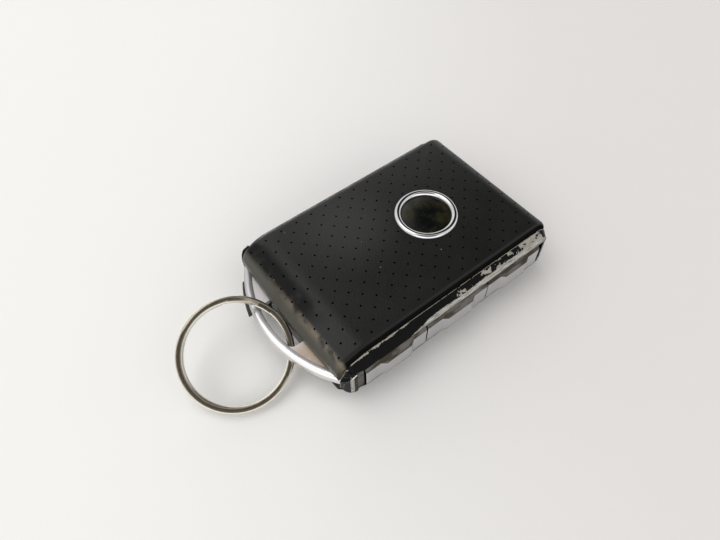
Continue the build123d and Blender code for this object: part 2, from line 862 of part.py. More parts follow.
def badge_bezel():
    """Plain rounded bezel of the badge."""
    inner = badge_radius - badge_band
    bottom = body_height - badge_sink
    top = body_height + badge_proud
    with BuildSketch(Plane.XZ) as section:
        with BuildLine():
            Polyline((inner, bottom), (badge_radius, bottom), (badge_radius, body_height))
            crest = (badge_radius - badge_band / 2, top)
            ThreePointArc((badge_radius, body_height), crest, (inner, body_height))
            Line((inner, body_height), (inner, bottom))
        make_face()
    return Pos(0, badge_y, 0) * revolve(section.sketch, Axis.Z)


def badge_disc():
    """Blank domed disc inside the bezel."""
    radius = badge_radius - badge_band - badge_gap
    bottom = body_height - badge_sink
    rim = body_height - badge_gap
    with BuildSketch(Plane.XZ) as section:
        with BuildLine():
            Polyline((0, bottom), (radius, bottom), (radius, rim))
            sphere = (radius ** 2 + disc_proud ** 2) / (2 * disc_proud)
            half_x = radius / 2
            half_z = rim + disc_proud - sphere + math.sqrt(sphere ** 2 - half_x ** 2)
            ThreePointArc((radius, rim), (half_x, half_z), (0, rim + disc_proud))
            Line((0, rim + disc_proud), (0, bottom))
        make_face()
    return Pos(0, badge_y, 0) * revolve(section.sketch, Axis.Z)


def ring_point(angle, radius, height):
    """A point of the ring's wire in the ring's own plane."""
    turned = math.radians(angle)
    return Vector(radius * math.cos(turned), radius * math.sin(turned), height)


def ring_path():
    """Centre line of the ring's wire: a flat turn, a step up, and a second flat turn."""
    radius = ring_outer_radius - wire_width / 2
    pitch = wire_height + coil_clearance
    edges = []
    for level, start in ((-pitch / 2, step_angle), (pitch / 2, 360 + step_angle)):
        sweep_angle = 360 - 2 * step_angle
        for index in range(3):
            first = start + index * sweep_angle / 3
            last = first + sweep_angle / 3
            arc_points = [ring_point(angle, radius, level) for angle in (first, (first + last) / 2, last)]
            edges.append(ThreePointArc(*arc_points))
        if level < 0:
            middle = Vector(math.sqrt(radius ** 2 + pitch ** 2 / 4), 0, 0)
            low = ring_point(-step_angle, radius, -pitch / 2)
            high = ring_point(step_angle, radius, pitch / 2)
            rise = TangentArc(low, middle, tangent=ring_point(90 - step_angle, 1, 0))
            edges.append(rise)
            edges.append(TangentArc(middle, high, tangent=rise % 1))
    return edges


def print_ring_gap(edges):
    """Print the least gap between the ring's two turns, measured on points of the wire."""
    steps = 24
    points = [edge @ (index / steps) for edge in edges for index in range(steps)]
    turn = ring_outer_radius * math.pi
    travelled = [0.0]
    for first, second in zip(points[:-1], points[1:]):
        travelled.append(travelled[-1] + (second - first).length)
    least = min((first - second).length for i, first in enumerate(points) for j, second in enumerate(points)
                if travelled[j] - travelled[i] > turn)
    print("least gap between the ring's turns", round(least - wire_height, 3))


def ring_place():
    """Where the ring hangs in the loop's window: it leans just clear of the rim's middle."""
    heading = math.radians(ring_heading)
    near_y = window_root_y - ring_window_gap
    run = (near_y - loop_apex - rim_width / 2) / math.cos(heading)
    aside = math.sqrt(2 * ring_outer_radius * run - run ** 2)
    rise = loop_height / 2 + wire_height + coil_clearance / 2 + ring_rim_gap
    tilt = math.degrees(math.asin(rise / aside))
    x = ring_near_x + ring_outer_radius * math.sin(heading)
    y = near_y - ring_outer_radius * math.cos(heading)
    print("ring centre", round(x, 3), round(y, 3), round(mid_height - ring_drop, 3), "tilt", round(tilt, 2))
    return Pos(x, y, mid_height - ring_drop) * Rot(0, 0, ring_heading) * Rot(0, tilt, 0)


def split_ring():
    """Split ring of two turns of flat wire, through the loop's window."""
    edges = ring_path()
    print_ring_gap(edges)
    path = Wire([edge.edges()[0] for edge in edges])
    start = ring_point(step_angle, ring_outer_radius - wire_width / 2, -(wire_height + coil_clearance) / 2)
    across = ring_point(step_angle, 1, 0)
    along = ring_point(step_angle + 90, 1, 0)
    wire = RectangleRounded(wire_width, wire_height, wire_corner_radius)
    ring = sweep(Plane(start, x_dir=across, z_dir=along) * wire, path=path)
    return ring_place() * Rot(0, 0, step_heading) * ring


def write_parts():
    """Write every node's STEP file."""
    spans = button_spans()
    opening_half = head_width / 2 + liner_opening_gap
    opening_near = head_near_y - cover_travel - liner_end_gap
    front_liner = liner(opening_half, opening_near, blade_far_y + liner_end_gap)
    cap_room = cap_diameter / 2 + lug_reach + blade_gap
    rear_liner = to_rear(liner(cap_room, battery_y - cap_room - cover_travel, battery_y + cap_room))
    board_chip = on_board(chip_size, chip_size, chip_height, chip_x, chip_y)
    switches = [side_switch(span) for span in spans] + [to_left(side_switch(spans[1]))]
    nodes = {
        "front_shell": shell(front_pocket_top),
        "front_panel": panel(front_pocket_top) - badge_seat(),
        "front_liner": front_liner,
        "badge_bezel": badge_bezel(),
        "badge_disc": badge_disc(),
        "rear_shell": to_rear(shell(rear_pocket_top)),
        "rear_panel": to_rear(panel(rear_pocket_top)),
        "rear_liner": rear_liner,
        "middle_frame": middle_frame(),
        "key_ring_loop": key_ring_loop(),
        "loop_pins": Compound(children=pins(-contact_gap)),
        "release_catch": release_catch(),
        "lock_button": button(spans[0]),
        "unlock_button": button(spans[1]),
        "boot_button": button(spans[2]),
        "alert_button": to_left(button(spans[1])),
        "left_trim_strips": Compound(children=[trim_strip(spans[0]), trim_strip(spans[2])]),
        "right_button_seal": button_seal(spans),
        "left_button_seal": to_left(button_seal(spans[1:2])),
        "side_switches": Compound(children=switches),
        "battery_carrier": battery_carrier(),
        "battery_cap": battery_cap(),
        "cap_seal": cap_seal(),
        "battery": battery(),
        "plus_contact": plus_contact(),
        "minus_contact": minus_contact(),
        "circuit_board": circuit_board(),
        "control_chip": board_chip,
        "crystal": on_board(crystal_length, crystal_width, crystal_height, crystal_x, crystal_y),
        "antenna_coil": antenna_coil(),
        "blade_tray": blade_tray(),
        "tray_screws": tray_screws(),
        "key_blade": key_blade(),
        "blade_head": blade_head(),
        "split_ring": split_ring(),
    }
    os.makedirs("parts", exist_ok=True)
    for name, solid in nodes.items():
        export_step(solid, f"parts/{name}.step")


write_parts()
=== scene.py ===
# %% [markdown]
# A keyless car key fob lies on a pale table, with a split ring through its metal loop.
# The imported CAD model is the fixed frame: it holds every piece at its real size and place.
# This lesson gives those pieces their looks, cell by cell, and it never moves a CAD piece.

import json
import math

import bmesh
import bpy
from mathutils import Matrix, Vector


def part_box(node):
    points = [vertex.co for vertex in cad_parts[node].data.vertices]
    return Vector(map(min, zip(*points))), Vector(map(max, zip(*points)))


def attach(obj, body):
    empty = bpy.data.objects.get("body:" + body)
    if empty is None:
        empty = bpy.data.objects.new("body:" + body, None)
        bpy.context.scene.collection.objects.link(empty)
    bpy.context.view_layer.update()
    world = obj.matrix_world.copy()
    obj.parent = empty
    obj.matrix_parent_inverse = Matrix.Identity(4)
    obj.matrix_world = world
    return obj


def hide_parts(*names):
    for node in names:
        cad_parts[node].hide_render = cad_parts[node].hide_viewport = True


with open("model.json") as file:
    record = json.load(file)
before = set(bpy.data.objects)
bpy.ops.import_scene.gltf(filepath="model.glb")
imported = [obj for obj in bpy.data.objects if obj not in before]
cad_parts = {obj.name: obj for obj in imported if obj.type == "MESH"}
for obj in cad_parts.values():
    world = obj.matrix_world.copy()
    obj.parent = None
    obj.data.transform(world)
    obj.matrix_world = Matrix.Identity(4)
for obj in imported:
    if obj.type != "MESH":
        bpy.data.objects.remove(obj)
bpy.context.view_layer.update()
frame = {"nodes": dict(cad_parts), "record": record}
nodes = frame["nodes"]
record = frame["record"]
mm = 0.001

# %% [markdown]
# The camera stands where the photographer stood. Its place and angles were solved from the regular
# dots on the leather, so the render and the photograph can be laid over each other.
# A camera could also be aimed by eye, but a solved one keeps every proportion honest.

# %% Camera
camera_place_mm = (67.95, -60.73, 128.47)
camera_angles_deg = (35.413, 1.143, 52.370)
lens_mm = 28.12
nearest_m = 0.005
camera = bpy.data.objects.new("camera", bpy.data.cameras.new("camera"))
bpy.context.scene.collection.objects.link(camera)
camera.location = [value * mm for value in camera_place_mm]
camera.rotation_euler = [math.radians(angle) for angle in camera_angles_deg]
camera.data.lens = lens_mm
camera.data.clip_start = nearest_m
bpy.context.scene.camera = camera
bpy.context.scene.view_settings.view_transform = "Standard"
print("camera", lens_mm, "mm lens")

# %% [markdown]
# Materials are small node trees. They could be drawn by hand in the shader editor, but a script can
# be read and changed in one place. One helper adds a node and feeds its inputs. The others do
# arithmetic on a field, which is a number that differs from place to place on the object.

# %% Field helpers


def add(tree, kind, feeds=None, **settings):
    """Add a node, set its settings, and feed its inputs with values or with other sockets."""
    made = tree.nodes.new(kind)
    for key, value in settings.items():
        setattr(made, key, value)
    for key, value in (feeds or {}).items():
        if isinstance(value, bpy.types.NodeSocket):
            tree.links.new(value, made.inputs[key])
        else:
            made.inputs[key].default_value = value
    return made


def calc(tree, operation, first, second=0.0):
    """One step of arithmetic on fields."""
    return add(tree, "ShaderNodeMath", {0: first, 1: second}, operation=operation).outputs[0]


def product(tree, first, *others):
    """Fields multiplied with each other."""
    for other in others:
        first = calc(tree, "MULTIPLY", first, other)
    return first


def total(tree, first, *others):
    """Fields added up."""
    for other in others:
        first = calc(tree, "ADD", first, other)
    return first


def most(tree, first, *others):
    """The highest of several fields."""
    for other in others:
        first = calc(tree, "MAXIMUM", first, other)
    return first


def less(tree, first, second):
    """The second field taken from the first."""
    return calc(tree, "SUBTRACT", first, second)


def away_from(tree, value, centre=0.0):
    """How far a field is from a value, on either side."""
    return calc(tree, "ABSOLUTE", less(tree, value, centre))


print("field helpers ready")

# %% [markdown]
# A place is three numbers at once, so distances and single axes are taken from it first. A mask is a
# field that goes from 0 to 1 between two limits, and it can blend two colours. Mask pictures could be
# painted by hand, but masks from formulas stay sharp at every zoom and move with one number.

# %% Places, masks and colours


def vector_calc(tree, operation, first, second=(0.0, 0.0, 0.0)):
    """A number worked out from vectors, such as a distance."""
    return add(tree, "ShaderNodeVectorMath", {0: first, 1: second}, operation=operation).outputs["Value"]


def axes_of(tree, spot):
    """The parts of a place, by their names X, Y and Z."""
    return add(tree, "ShaderNodeSeparateXYZ", {0: spot}).outputs


def drift(tree, value, low, high, start=0.0, end=1.0):
    """A number that goes from low to high while a field goes from start to end."""
    feeds = {"Value": value, "From Min": start, "From Max": end, "To Min": low, "To Max": high}
    return add(tree, "ShaderNodeMapRange", feeds).outputs[0]


def step_between(tree, value, start, end):
    """0 below start, 1 above end, and smooth between them."""
    feeds = {"Value": value, "From Min": start, "From Max": end}
    return add(tree, "ShaderNodeMapRange", feeds, interpolation_type="SMOOTHSTEP").outputs[0]


def blend_colour(tree, share, first, second):
    """The first colour where share is 0 and the second where it is 1."""
    made = add(tree, "ShaderNodeMix", {"Factor": share}, data_type="RGBA")
    for index, value in ((6, first), (7, second)):
        if isinstance(value, bpy.types.NodeSocket):
            tree.links.new(value, made.inputs[index])
        else:
            made.inputs[index].default_value = (*value, 1.0)
    return made.outputs[2]


print("place, mask and colour helpers ready")

# %% [markdown]
# Patterns read the place on the object in millimetres, so that grain and wear keep their real scale on
# every piece. A picture could be wrapped round the fob instead, but it would stretch on the bevels.
# Each finished material is kept under the slot of the record that wears it.

# %% Pattern and material helpers
finishes = {}


def place_in_mm(tree, stretch=(1.0, 1.0, 1.0)):
    """The place on the object in millimetres, stretched where a pattern has a direction."""
    spot = add(tree, "ShaderNodeTexCoord").outputs["Object"]
    scale = [share / mm for share in stretch]
    return add(tree, "ShaderNodeMapping", {"Vector": spot, "Scale": scale}).outputs[0]


def cloudy(tree, spot, size, detail=3.0, roughness=0.55):
    """Noise with patches of about that size in millimetres."""
    feeds = {"Vector": spot, "Scale": 1 / size, "Detail": detail, "Roughness": roughness}
    return add(tree, "ShaderNodeTexNoise", feeds).outputs[0]


def blotches(tree, spot, size, start, end, *texture):
    """Cloudy patches of about that size, that come in between two levels of the noise."""
    return step_between(tree, cloudy(tree, spot, size, *texture), start, end)


def dented(tree, height, depth_mm):
    """A normal from a height field whose full height is depth_mm."""
    return add(tree, "ShaderNodeBump", {"Height": height, "Distance": depth_mm * mm}).outputs[0]


def start_material(name):
    """A new material, its tree and its shader."""
    made = bpy.data.materials.new(name)
    made.use_nodes = True
    return made, made.node_tree, made.node_tree.nodes["Principled BSDF"]


def feed(tree, shader, **values):
    """Feed the shader's sockets, whose names are written with underscores for spaces."""
    for key, value in values.items():
        socket = shader.inputs[key.replace("_", " ")]
        if isinstance(value, bpy.types.NodeSocket):
            tree.links.new(value, socket)
        else:
            socket.default_value = value


def give_slot(slot, material):
    """Keep a material as the finish of one slot."""
    finishes[slot] = material
    print(slot, "wears", material.name, "of", len(material.node_tree.nodes), "nodes")


print("pattern and material helpers ready")

# %% [markdown]
# Polished metal only looks like metal when it has something to reflect. The world is a pale room with
# two darker places: the wall behind the fob, which keeps the leather black, and the photographer
# overhead, who darkens the ring and the chrome. One brighter side lights the buttons. A photographed
# room would do as well, but these few directions are enough and each can be adjusted by itself.

# %% World
room_low = 1.20
room_high = 1.12
room_tint = (1.0, 0.992, 0.98, 1.0)
# Each place has its direction, the cosines where it starts and is full, and its change of brightness.
dark_wall = ((-0.20, 0.62, 0.76), 0.82, 0.955, -0.98)
photographer = ((0.42, -0.22, 0.88), 0.84, 0.97, -0.84)
bright_side = ((0.80, -0.50, 0.33), 0.55, 0.95, 0.70)
world = bpy.data.worlds.new("pale_room")
bpy.context.scene.world = world
world.use_nodes = True
dome = world.node_tree
looking = add(dome, "ShaderNodeTexCoord").outputs["Generated"]
light = drift(dome, axes_of(dome, looking)["Z"], room_low, room_high)
for toward, start, end, change in (dark_wall, photographer, bright_side):
    near = step_between(dome, vector_calc(dome, "DOT_PRODUCT", looking, toward), start, end)
    light = product(dome, light, total(dome, product(dome, near, change), 1.0))
dome.nodes["Background"].inputs["Color"].default_value = room_tint
dome.links.new(light, dome.nodes["Background"].inputs["Strength"])
print("world of", len(dome.nodes), "nodes")

# %% [markdown]
# The shadow in the photograph is soft and falls to the right, so a large light panel hangs on the left.
# A small lamp or a sun would draw a hard edge that the photograph doesn't have.

# %% Light panel
panel_place_mm = Vector((-260, -260, 640))
panel_size = 0.50
panel_power = 1.0
panel = bpy.data.objects.new("left_panel", bpy.data.lights.new("left_panel", "AREA"))
panel.data.size = panel_size
panel.data.energy = panel_power
panel.location = panel_place_mm * mm
panel.rotation_euler = panel_place_mm.to_track_quat("Z", "Y").to_euler()
bpy.context.scene.collection.objects.link(panel)
print("light panel", panel_size, "m wide,", round(panel_place_mm.length), "mm away")

# %% [markdown]
# The panels are soft black leather-look plastic. A fine pebble grain breaks up the highlight, and a
# faint lighter grey, a painted sheen, lies over the middle towards the left. The crest at the ring end
# is rubbed grey-brown where that edge meets the pocket and the thumb first, and the same brown band
# is also a painted highlight along the crest. The patch above it shines less, and dust lies on the steep
# slope below it. Each is a mask at its own place, and noise makes the borders of the wear and of the
# painted light uneven.

# %% Leather
leather_black = (0.0032, 0.0035, 0.0031)
leather_soft_black = (0.0060, 0.0064, 0.0058)
# The next colour is a painted sheen: a lighter grey over the middle of the panel, towards the left.
leather_painted_sheen = (0.0185, 0.0195, 0.0180)
# The next colour is the rubbed crest: partly real wear, partly a painted highlight.
leather_worn_highlight = (0.190, 0.155, 0.115)
leather_dust = (0.062, 0.058, 0.046)
fleck_colour = (0.45, 0.38, 0.27)
patch_size = 9.0
grain_size = 0.42
grain_depth = 0.03
crown_half = 18.8
crown_drop = 0.8
sheen_centre = (-9.0, -8.0, 16.5)
sheen_fade = (17.0, 2.0)
crest_y = -32.5
crest_fade = (1.3, 0.1)
crest_along = (-16.0, 10.0)
rub_blotches = (2.6, 0.30, 0.60)
rub_share = 0.85
dull_start_y = (-26.5, -29.5)
dull_end_y = (-33.0, -31.8)
dull_blotches = (5.0, 0.25, 0.50)
dull_x = (12.0, 2.0)
dust_y = (-31.6, -33.2)
dust_share = 0.75
fleck_scale = 0.21
fleck_radius = 0.028
fleck_share = 0.5
leather_rough = 0.36
leather_rough_drift = 0.12
leather_shine = 0.30
dull_shine_lost = 0.22
side_fade_x = (20.9, 20.3)


def leather():
    """Black leather-look skin with grain, a slight crown, a painted sheen, and a rubbed ring end with a
    painted highlight.
    """
    made, tree, shader = start_material("panel_leather")
    spot = place_in_mm(tree)
    axes = axes_of(tree, spot)
    patches = cloudy(tree, spot, patch_size)
    # Painted sheen: the colour lightens around a point in the middle left of the panel.
    sheen = step_between(tree, vector_calc(tree, "DISTANCE", spot, sheen_centre), *sheen_fade)
    # The crest band is rubbed wear and a painted highlight at once.
    crest = product(tree, step_between(tree, away_from(tree, axes["Y"], crest_y), *crest_fade),
                    step_between(tree, axes["X"], *crest_along))
    rubbed_highlight = product(tree, crest, blotches(tree, spot, *rub_blotches), rub_share)
    dulled = product(tree, step_between(tree, axes["Y"], *dull_start_y),
                     step_between(tree, axes["Y"], *dull_end_y), blotches(tree, spot, *dull_blotches),
                     step_between(tree, axes["X"], *dull_x))
    dusty = product(tree, step_between(tree, axes["Y"], *dust_y), dust_share)
    fleck = add(tree, "ShaderNodeTexVoronoi", {"Vector": spot, "Scale": fleck_scale}).outputs["Distance"]
    flecked = product(tree, calc(tree, "LESS_THAN", fleck, fleck_radius), fleck_share)
    colour = blend_colour(tree, patches, leather_black, leather_soft_black)
    for share, second in ((sheen, leather_painted_sheen), (rubbed_highlight, leather_worn_highlight), (flecked, fleck_colour),
                          (dusty, leather_dust)):
        colour = blend_colour(tree, share, colour, second)
    crown = product(tree, calc(tree, "POWER", calc(tree, "DIVIDE", axes["X"], crown_half), 2.0), -1.0)
    feeds = {"Vector": spot, "Scale": 1 / grain_size}
    pebbles = add(tree, "ShaderNodeTexVoronoi", feeds, feature="SMOOTH_F1").outputs["Distance"]
    feeds = {"Height": pebbles, "Distance": grain_depth * mm, "Normal": dented(tree, crown, crown_drop)}
    grain = add(tree, "ShaderNodeBump", feeds).outputs[0]
    rough = total(tree, product(tree, patches, leather_rough_drift), leather_rough)
    shine = less(tree, leather_shine, product(tree, dulled, dull_shine_lost))
    shine = product(tree, shine, step_between(tree, away_from(tree, axes["X"]), *side_fade_x))
    feed(tree, shader, Base_Color=colour, Roughness=rough, Normal=grain, Specular_IOR_Level=shine)
    return made


give_slot("leather", leather())

# %% [markdown]
# The shells are glossy black paint over bright metal-like plating. Years of use have chipped the
# bevelled rails: thin bright wear near the ring, then bare metal with black islands further along.
# A threshold that falls along the length, compared with noise across the bevel, draws such chips.
# Places across a rail are shares of its width, from 0 at the leather to 1 at its outer edge.

# %% Where the paint has gone
lower_edge = 1.27
lower_edge_fall = -0.62
lower_fall_y = (-22.0, -4.0)
lower_raggedness = 0.5
flake_start = -0.24
flake_growth = 0.30
flake_growth_y = (-14.0, 26.0)
flake_corner = -0.5
flake_corner_y = (30.5, 32.5)
strip_width = 0.10
strip_raggedness = 0.7
strip_end_y = (-13.0, -14.0)
band_centre = 0.66
band_half_width = 0.03
band_raggedness = 0.9
rail_start = (-0.05, 0.0)
over_lip_z = (12.45, 12.60)
rear_edge_across = (0.90, 0.96)
rear_edge_z = (6.0, 5.0)
rear_edge_levels = (0.35, 0.5)


def rail_chips(tree, axes, across, ragged, fine):
    """Where the paint has gone from the rails: 1 on bare metal and 0 on paint."""
    right = step_between(tree, axes["X"], 0.0, 1.0)
    fall = product(tree, step_between(tree, axes["Y"], *lower_fall_y), lower_edge_fall)
    edge = less(tree, total(tree, fall, lower_edge), product(tree, ragged, lower_raggedness))
    growth = product(tree, step_between(tree, axes["Y"], *flake_growth_y), flake_growth)
    corner = product(tree, step_between(tree, axes["Y"], *flake_corner_y), flake_corner)
    flaked = calc(tree, "LESS_THAN", ragged, total(tree, growth, flake_start, corner))
    lower = product(tree, most(tree, calc(tree, "GREATER_THAN", across, edge), flaked), right)
    strip = total(tree, product(tree, ragged, strip_raggedness), strip_width)
    near_bead = product(tree, calc(tree, "LESS_THAN", across, strip),
                        step_between(tree, axes["Y"], *strip_end_y))
    reach = total(tree, product(tree, ragged, band_raggedness), band_half_width)
    band = calc(tree, "LESS_THAN", away_from(tree, across, band_centre), reach)
    band = product(tree, band, less(tree, 1.0, right))
    chips = product(tree, most(tree, lower, near_bead, band), step_between(tree, across, *rail_start),
                    step_between(tree, axes["Z"], *over_lip_z))
    rear_edge = product(tree, step_between(tree, across, *rear_edge_across),
                        step_between(tree, axes["Z"], *rear_edge_z))
    return most(tree, chips, product(tree, rear_edge, step_between(tree, fine, *rear_edge_levels)))


print("bare metal grows over", flake_growth_y, "mm along the right rail")

# %% [markdown]
# One material shows both the paint and the plating under it, with the chips as the mask between them.
# Two materials on cut faces would do it too, but the ragged borders would need very many faces.
# The chips also sink the surface a little, so that their edges catch light.

# %% Chipped shell paint
rail_inner_mm = 21.3
rail_width_mm = 2.45
paint_black = (0.004, 0.004, 0.0045)
bare_metal = (0.40, 0.385, 0.345)
dirty_metal = (0.16, 0.145, 0.115)
streak_dark = (0.15, 0.145, 0.125)
streak_bright = (0.40, 0.395, 0.37)
paint_index = 1.14
coarse_texture = (4.0, 0.6)
fine_texture = (4.0, 0.65)
island_stretch = (0.8, 0.45, 0.8)
island_size = 1.7
fine_size = 0.7
fine_share = 0.35
ragged_middle = 0.675
bead_wear_levels = (-0.10, 0.02)
clean_across = (0.50, 0.80)
scuff_stretch = (1.0, 0.12, 1.0)
scuff_size = 0.25
brush_stretch = (2.5, 0.2, 2.5)
brush_blotches = (0.5, 0.35, 0.6, 3.0)
paint_rough = 0.06
scuff_rough = 0.16
chip_rough = 0.2
chip_metallic = 0.9
chip_depth = 0.04


def chipped_paint(name, bead):
    """Gloss black paint with chips; on the thin bead most of the paint has gone."""
    made, tree, shader = start_material(name)
    spot = place_in_mm(tree)
    axes = axes_of(tree, spot)
    islands = cloudy(tree, place_in_mm(tree, island_stretch), island_size, *coarse_texture)
    fine = cloudy(tree, spot, fine_size, *fine_texture)
    ragged = less(tree, total(tree, islands, product(tree, fine, fine_share)), ragged_middle)
    across = less(tree, away_from(tree, axes["X"]), rail_inner_mm)
    across = calc(tree, "DIVIDE", across, rail_width_mm)
    if bead:
        chips = step_between(tree, ragged, *bead_wear_levels)
    else:
        chips = rail_chips(tree, axes, across, ragged, fine)
    brushed = blotches(tree, place_in_mm(tree, brush_stretch), *brush_blotches)
    streaks = blend_colour(tree, brushed, streak_dark, streak_bright)
    plating = blend_colour(tree, step_between(tree, across, *clean_across),
                           blend_colour(tree, fine, dirty_metal, bare_metal), streaks)
    scuffs = cloudy(tree, place_in_mm(tree, scuff_stretch), scuff_size, 2.0)
    gloss = total(tree, product(tree, scuffs, scuff_rough), paint_rough)
    feed(tree, shader, Base_Color=blend_colour(tree, chips, paint_black, plating),
         Metallic=product(tree, chips, chip_metallic), IOR=paint_index,
         Roughness=total(tree, gloss, product(tree, chips, chip_rough)),
         Normal=dented(tree, product(tree, chips, -1.0), chip_depth))
    return made


give_slot("shell_paint", chipped_paint("chipped_paint", False))
bead_finish = chipped_paint("worn_bead", True)

# %% [markdown]
# The metals differ in how smooth they are. Chrome is a mirror with faint waves, and the cell, the
# contacts and the plain steel are duller. One function makes them all, because only the two colours,
# the roughness range and the size of the marks change.

# %% Metals
mark_levels = (0.3, 0.7)
metal_patch_size = 6.0
steel_stretch = (1.0, 0.2, 1.0)


def metal(name, colour, second, rough, mark_size, depth, stretch=(1.0, 1.0, 1.0)):
    """A metal whose colour and roughness drift between two values over marks of that size."""
    made, tree, shader = start_material(name)
    marks = cloudy(tree, place_in_mm(tree, stretch), mark_size, *coarse_texture)
    patches = cloudy(tree, place_in_mm(tree), metal_patch_size)
    feed(tree, shader, Base_Color=blend_colour(tree, patches, colour, second), Metallic=1.0,
         Roughness=drift(tree, marks, *rough, *mark_levels), Normal=dented(tree, marks, depth))
    return made


give_slot("bright_trim", metal("chrome", (0.34, 0.33, 0.33), (0.74, 0.74, 0.76), (0.06, 0.14), 1.6, 0.006))
give_slot("cell_steel", metal("cell_steel", (0.70, 0.70, 0.71), (0.64, 0.64, 0.66), (0.16, 0.30), 0.3, 0.004))
give_slot("contact_metal", metal("contact_brass", (0.78, 0.64, 0.36), (0.70, 0.56, 0.30), (0.18, 0.32),
                                 0.3, 0.004))
give_slot("steel", metal("plain_steel", (0.62, 0.62, 0.63), (0.54, 0.54, 0.56), (0.20, 0.36), 0.3, 0.006,
                         steel_stretch))

# %% [markdown]
# The cast loop is polished on its rim, where the ring rubs, and duller on the thin web behind it. A brown
# reflection is painted on the right-hand web, and a painted shade darkens the left part of the rim. Rim
# and web are found by their distance from the loop's own centre.

# %% Cast loop
loop_centre_mm = (0.0, -5.0, 9.25)
loop_inner_mm = 33.4
web_border = 0.15
rim_fade = (1.3, 0.3)
rim_bright = (0.84, 0.83, 0.83)
rim_soft = (0.72, 0.71, 0.71)
# The next colour is a painted shade over the left part of the rim.
rim_painted_shade = (0.46, 0.45, 0.46)
rim_shade_x = (4.0, -8.0)
web_satin = (0.62, 0.60, 0.60)
# The next colour is a painted brown reflection on the right-hand web.
web_painted_reflection = (0.49, 0.39, 0.31)
web_reflection_x = (6.0, 10.0)
web_reflection_blotches = (2.2, 0.0, 0.35)
loop_pit_size = 0.9
loop_pit_depth = 0.003
loop_rough = 0.15
pit_rough = 0.14
web_rough = 0.24
web_metallic_lost = 0.45


def cast_loop():
    """Bright cast metal with a satin web, a painted brown reflection on part of the web, and painted shade on
    the left of the rim.
    """
    made, tree, shader = start_material("loop_satin")
    spot = place_in_mm(tree)
    axes = axes_of(tree, spot)
    reach = vector_calc(tree, "DISTANCE", spot, loop_centre_mm)
    web = step_between(tree, reach, loop_inner_mm + web_border, loop_inner_mm - web_border)
    inner = step_between(tree, reach, loop_inner_mm + rim_fade[0], loop_inner_mm + rim_fade[1])
    pits = cloudy(tree, spot, loop_pit_size, *coarse_texture)
    # Painted reflection: brown on the right-hand web.
    reflected_brown = product(tree, step_between(tree, axes["X"], *web_reflection_x), blotches(tree, spot, *web_reflection_blotches))
    satin = blend_colour(tree, reflected_brown, web_satin, web_painted_reflection)
    rim = blend_colour(tree, pits, rim_bright, rim_soft)
    # Painted shade: the left part of the rim is darker.
    rim = blend_colour(tree, step_between(tree, axes["X"], *rim_shade_x), rim, rim_painted_shade)
    rough = total(tree, product(tree, inner, web_rough), product(tree, pits, pit_rough), loop_rough)
    feed(tree, shader, Base_Color=blend_colour(tree, web, rim, satin), Roughness=rough,
         Metallic=less(tree, 1.0, product(tree, inner, web_metallic_lost)),
         Normal=dented(tree, pits, loop_pit_depth))
    return made


give_slot("loop_metal", cast_loop())

# %% [markdown]
# The side buttons are chromed too, and a dull grey-brown reflection is painted on the sloped ledge
# above each button's face. The ledge is found by its height on the fob, which falls as the ledge runs
# outwards.

# %% Side chrome
mid_height_mm = 8.25
ledge_root_x = 23.2
ledge_root_half = 3.7
ledge_fall = 0.706
ledge_border = (-0.30, -0.16)
ledge_patch_stretch = (1.0, 0.25, 1.0)
ledge_patch_blotches = (1.2, 0.35, 0.60)
ledge_patch_low, ledge_patch_drift = 0.85, 0.15
speck_blotches = (0.5, 0.66, 0.70, 4.0, 0.7)
speck_share = 0.6
speck_colour = (0.20, 0.185, 0.16)
side_bright = (0.54, 0.535, 0.545)
# The next colour is a painted dark reflection on the ledges.
ledge_painted_reflection = (0.052, 0.045, 0.035)
side_rough = 0.09
ledge_rough = 0.38
wave_size = 1.6
wave_depth = 0.03


def side_chrome(name, least_reflection):
    """Chrome whose ledges above and below the button faces are dull, with a painted grey-brown reflection."""
    made, tree, shader = start_material(name)
    spot = place_in_mm(tree)
    axes = axes_of(tree, spot)
    outward = less(tree, away_from(tree, axes["X"]), ledge_root_x)
    height = total(tree, away_from(tree, axes["Z"], mid_height_mm), product(tree, outward, ledge_fall))
    ledge = step_between(tree, less(tree, height, ledge_root_half), *ledge_border)
    patchy = blotches(tree, place_in_mm(tree, ledge_patch_stretch), *ledge_patch_blotches)
    patchy = total(tree, product(tree, patchy, ledge_patch_drift), ledge_patch_low)
    # Painted reflection: the ledges darken to grey-brown.
    reflection_share = product(tree, most(tree, ledge, least_reflection), patchy)
    specks = product(tree, blotches(tree, spot, *speck_blotches), speck_share)
    colour = blend_colour(tree, reflection_share, blend_colour(tree, specks, side_bright, speck_colour), ledge_painted_reflection)
    feed(tree, shader, Base_Color=colour, Metallic=1.0,
         Roughness=total(tree, product(tree, reflection_share, ledge_rough), side_rough),
         Normal=dented(tree, cloudy(tree, spot, wave_size), wave_depth))
    return made


# The plates' finish carries the painted dark reflection over all of their surface.
button_finish = side_chrome("side_chrome", 0.0)
plate_finish = side_chrome("chrome_painted_reflection", 1.0)
print("side chrome of", len(button_finish.node_tree.nodes), "nodes, and a grimy one for the plates")

# %% [markdown]
# The split ring is flattened nickel-plated wire wound twice. Each turn is slightly domed, with a painted
# highlight on its two rims, and the groove between the turns is painted darker, as shade. All of it is
# worked out from the distance to the ring's own axis, because the ring leans.

# %% Ring finish
ring_tilt_deg = 26.4
ring_heading_deg = -16.2
wire_half_width = 0.9
wire_half_height = 0.5
turn_offset = 0.71
dome_across = -0.15
dome_along = -0.12
ring_dark = (0.22, 0.19, 0.14)
ring_pale = (0.36, 0.33, 0.27)
# The next colour is a painted highlight on the two rims of each turn.
ring_painted_highlight = (0.74, 0.71, 0.64)
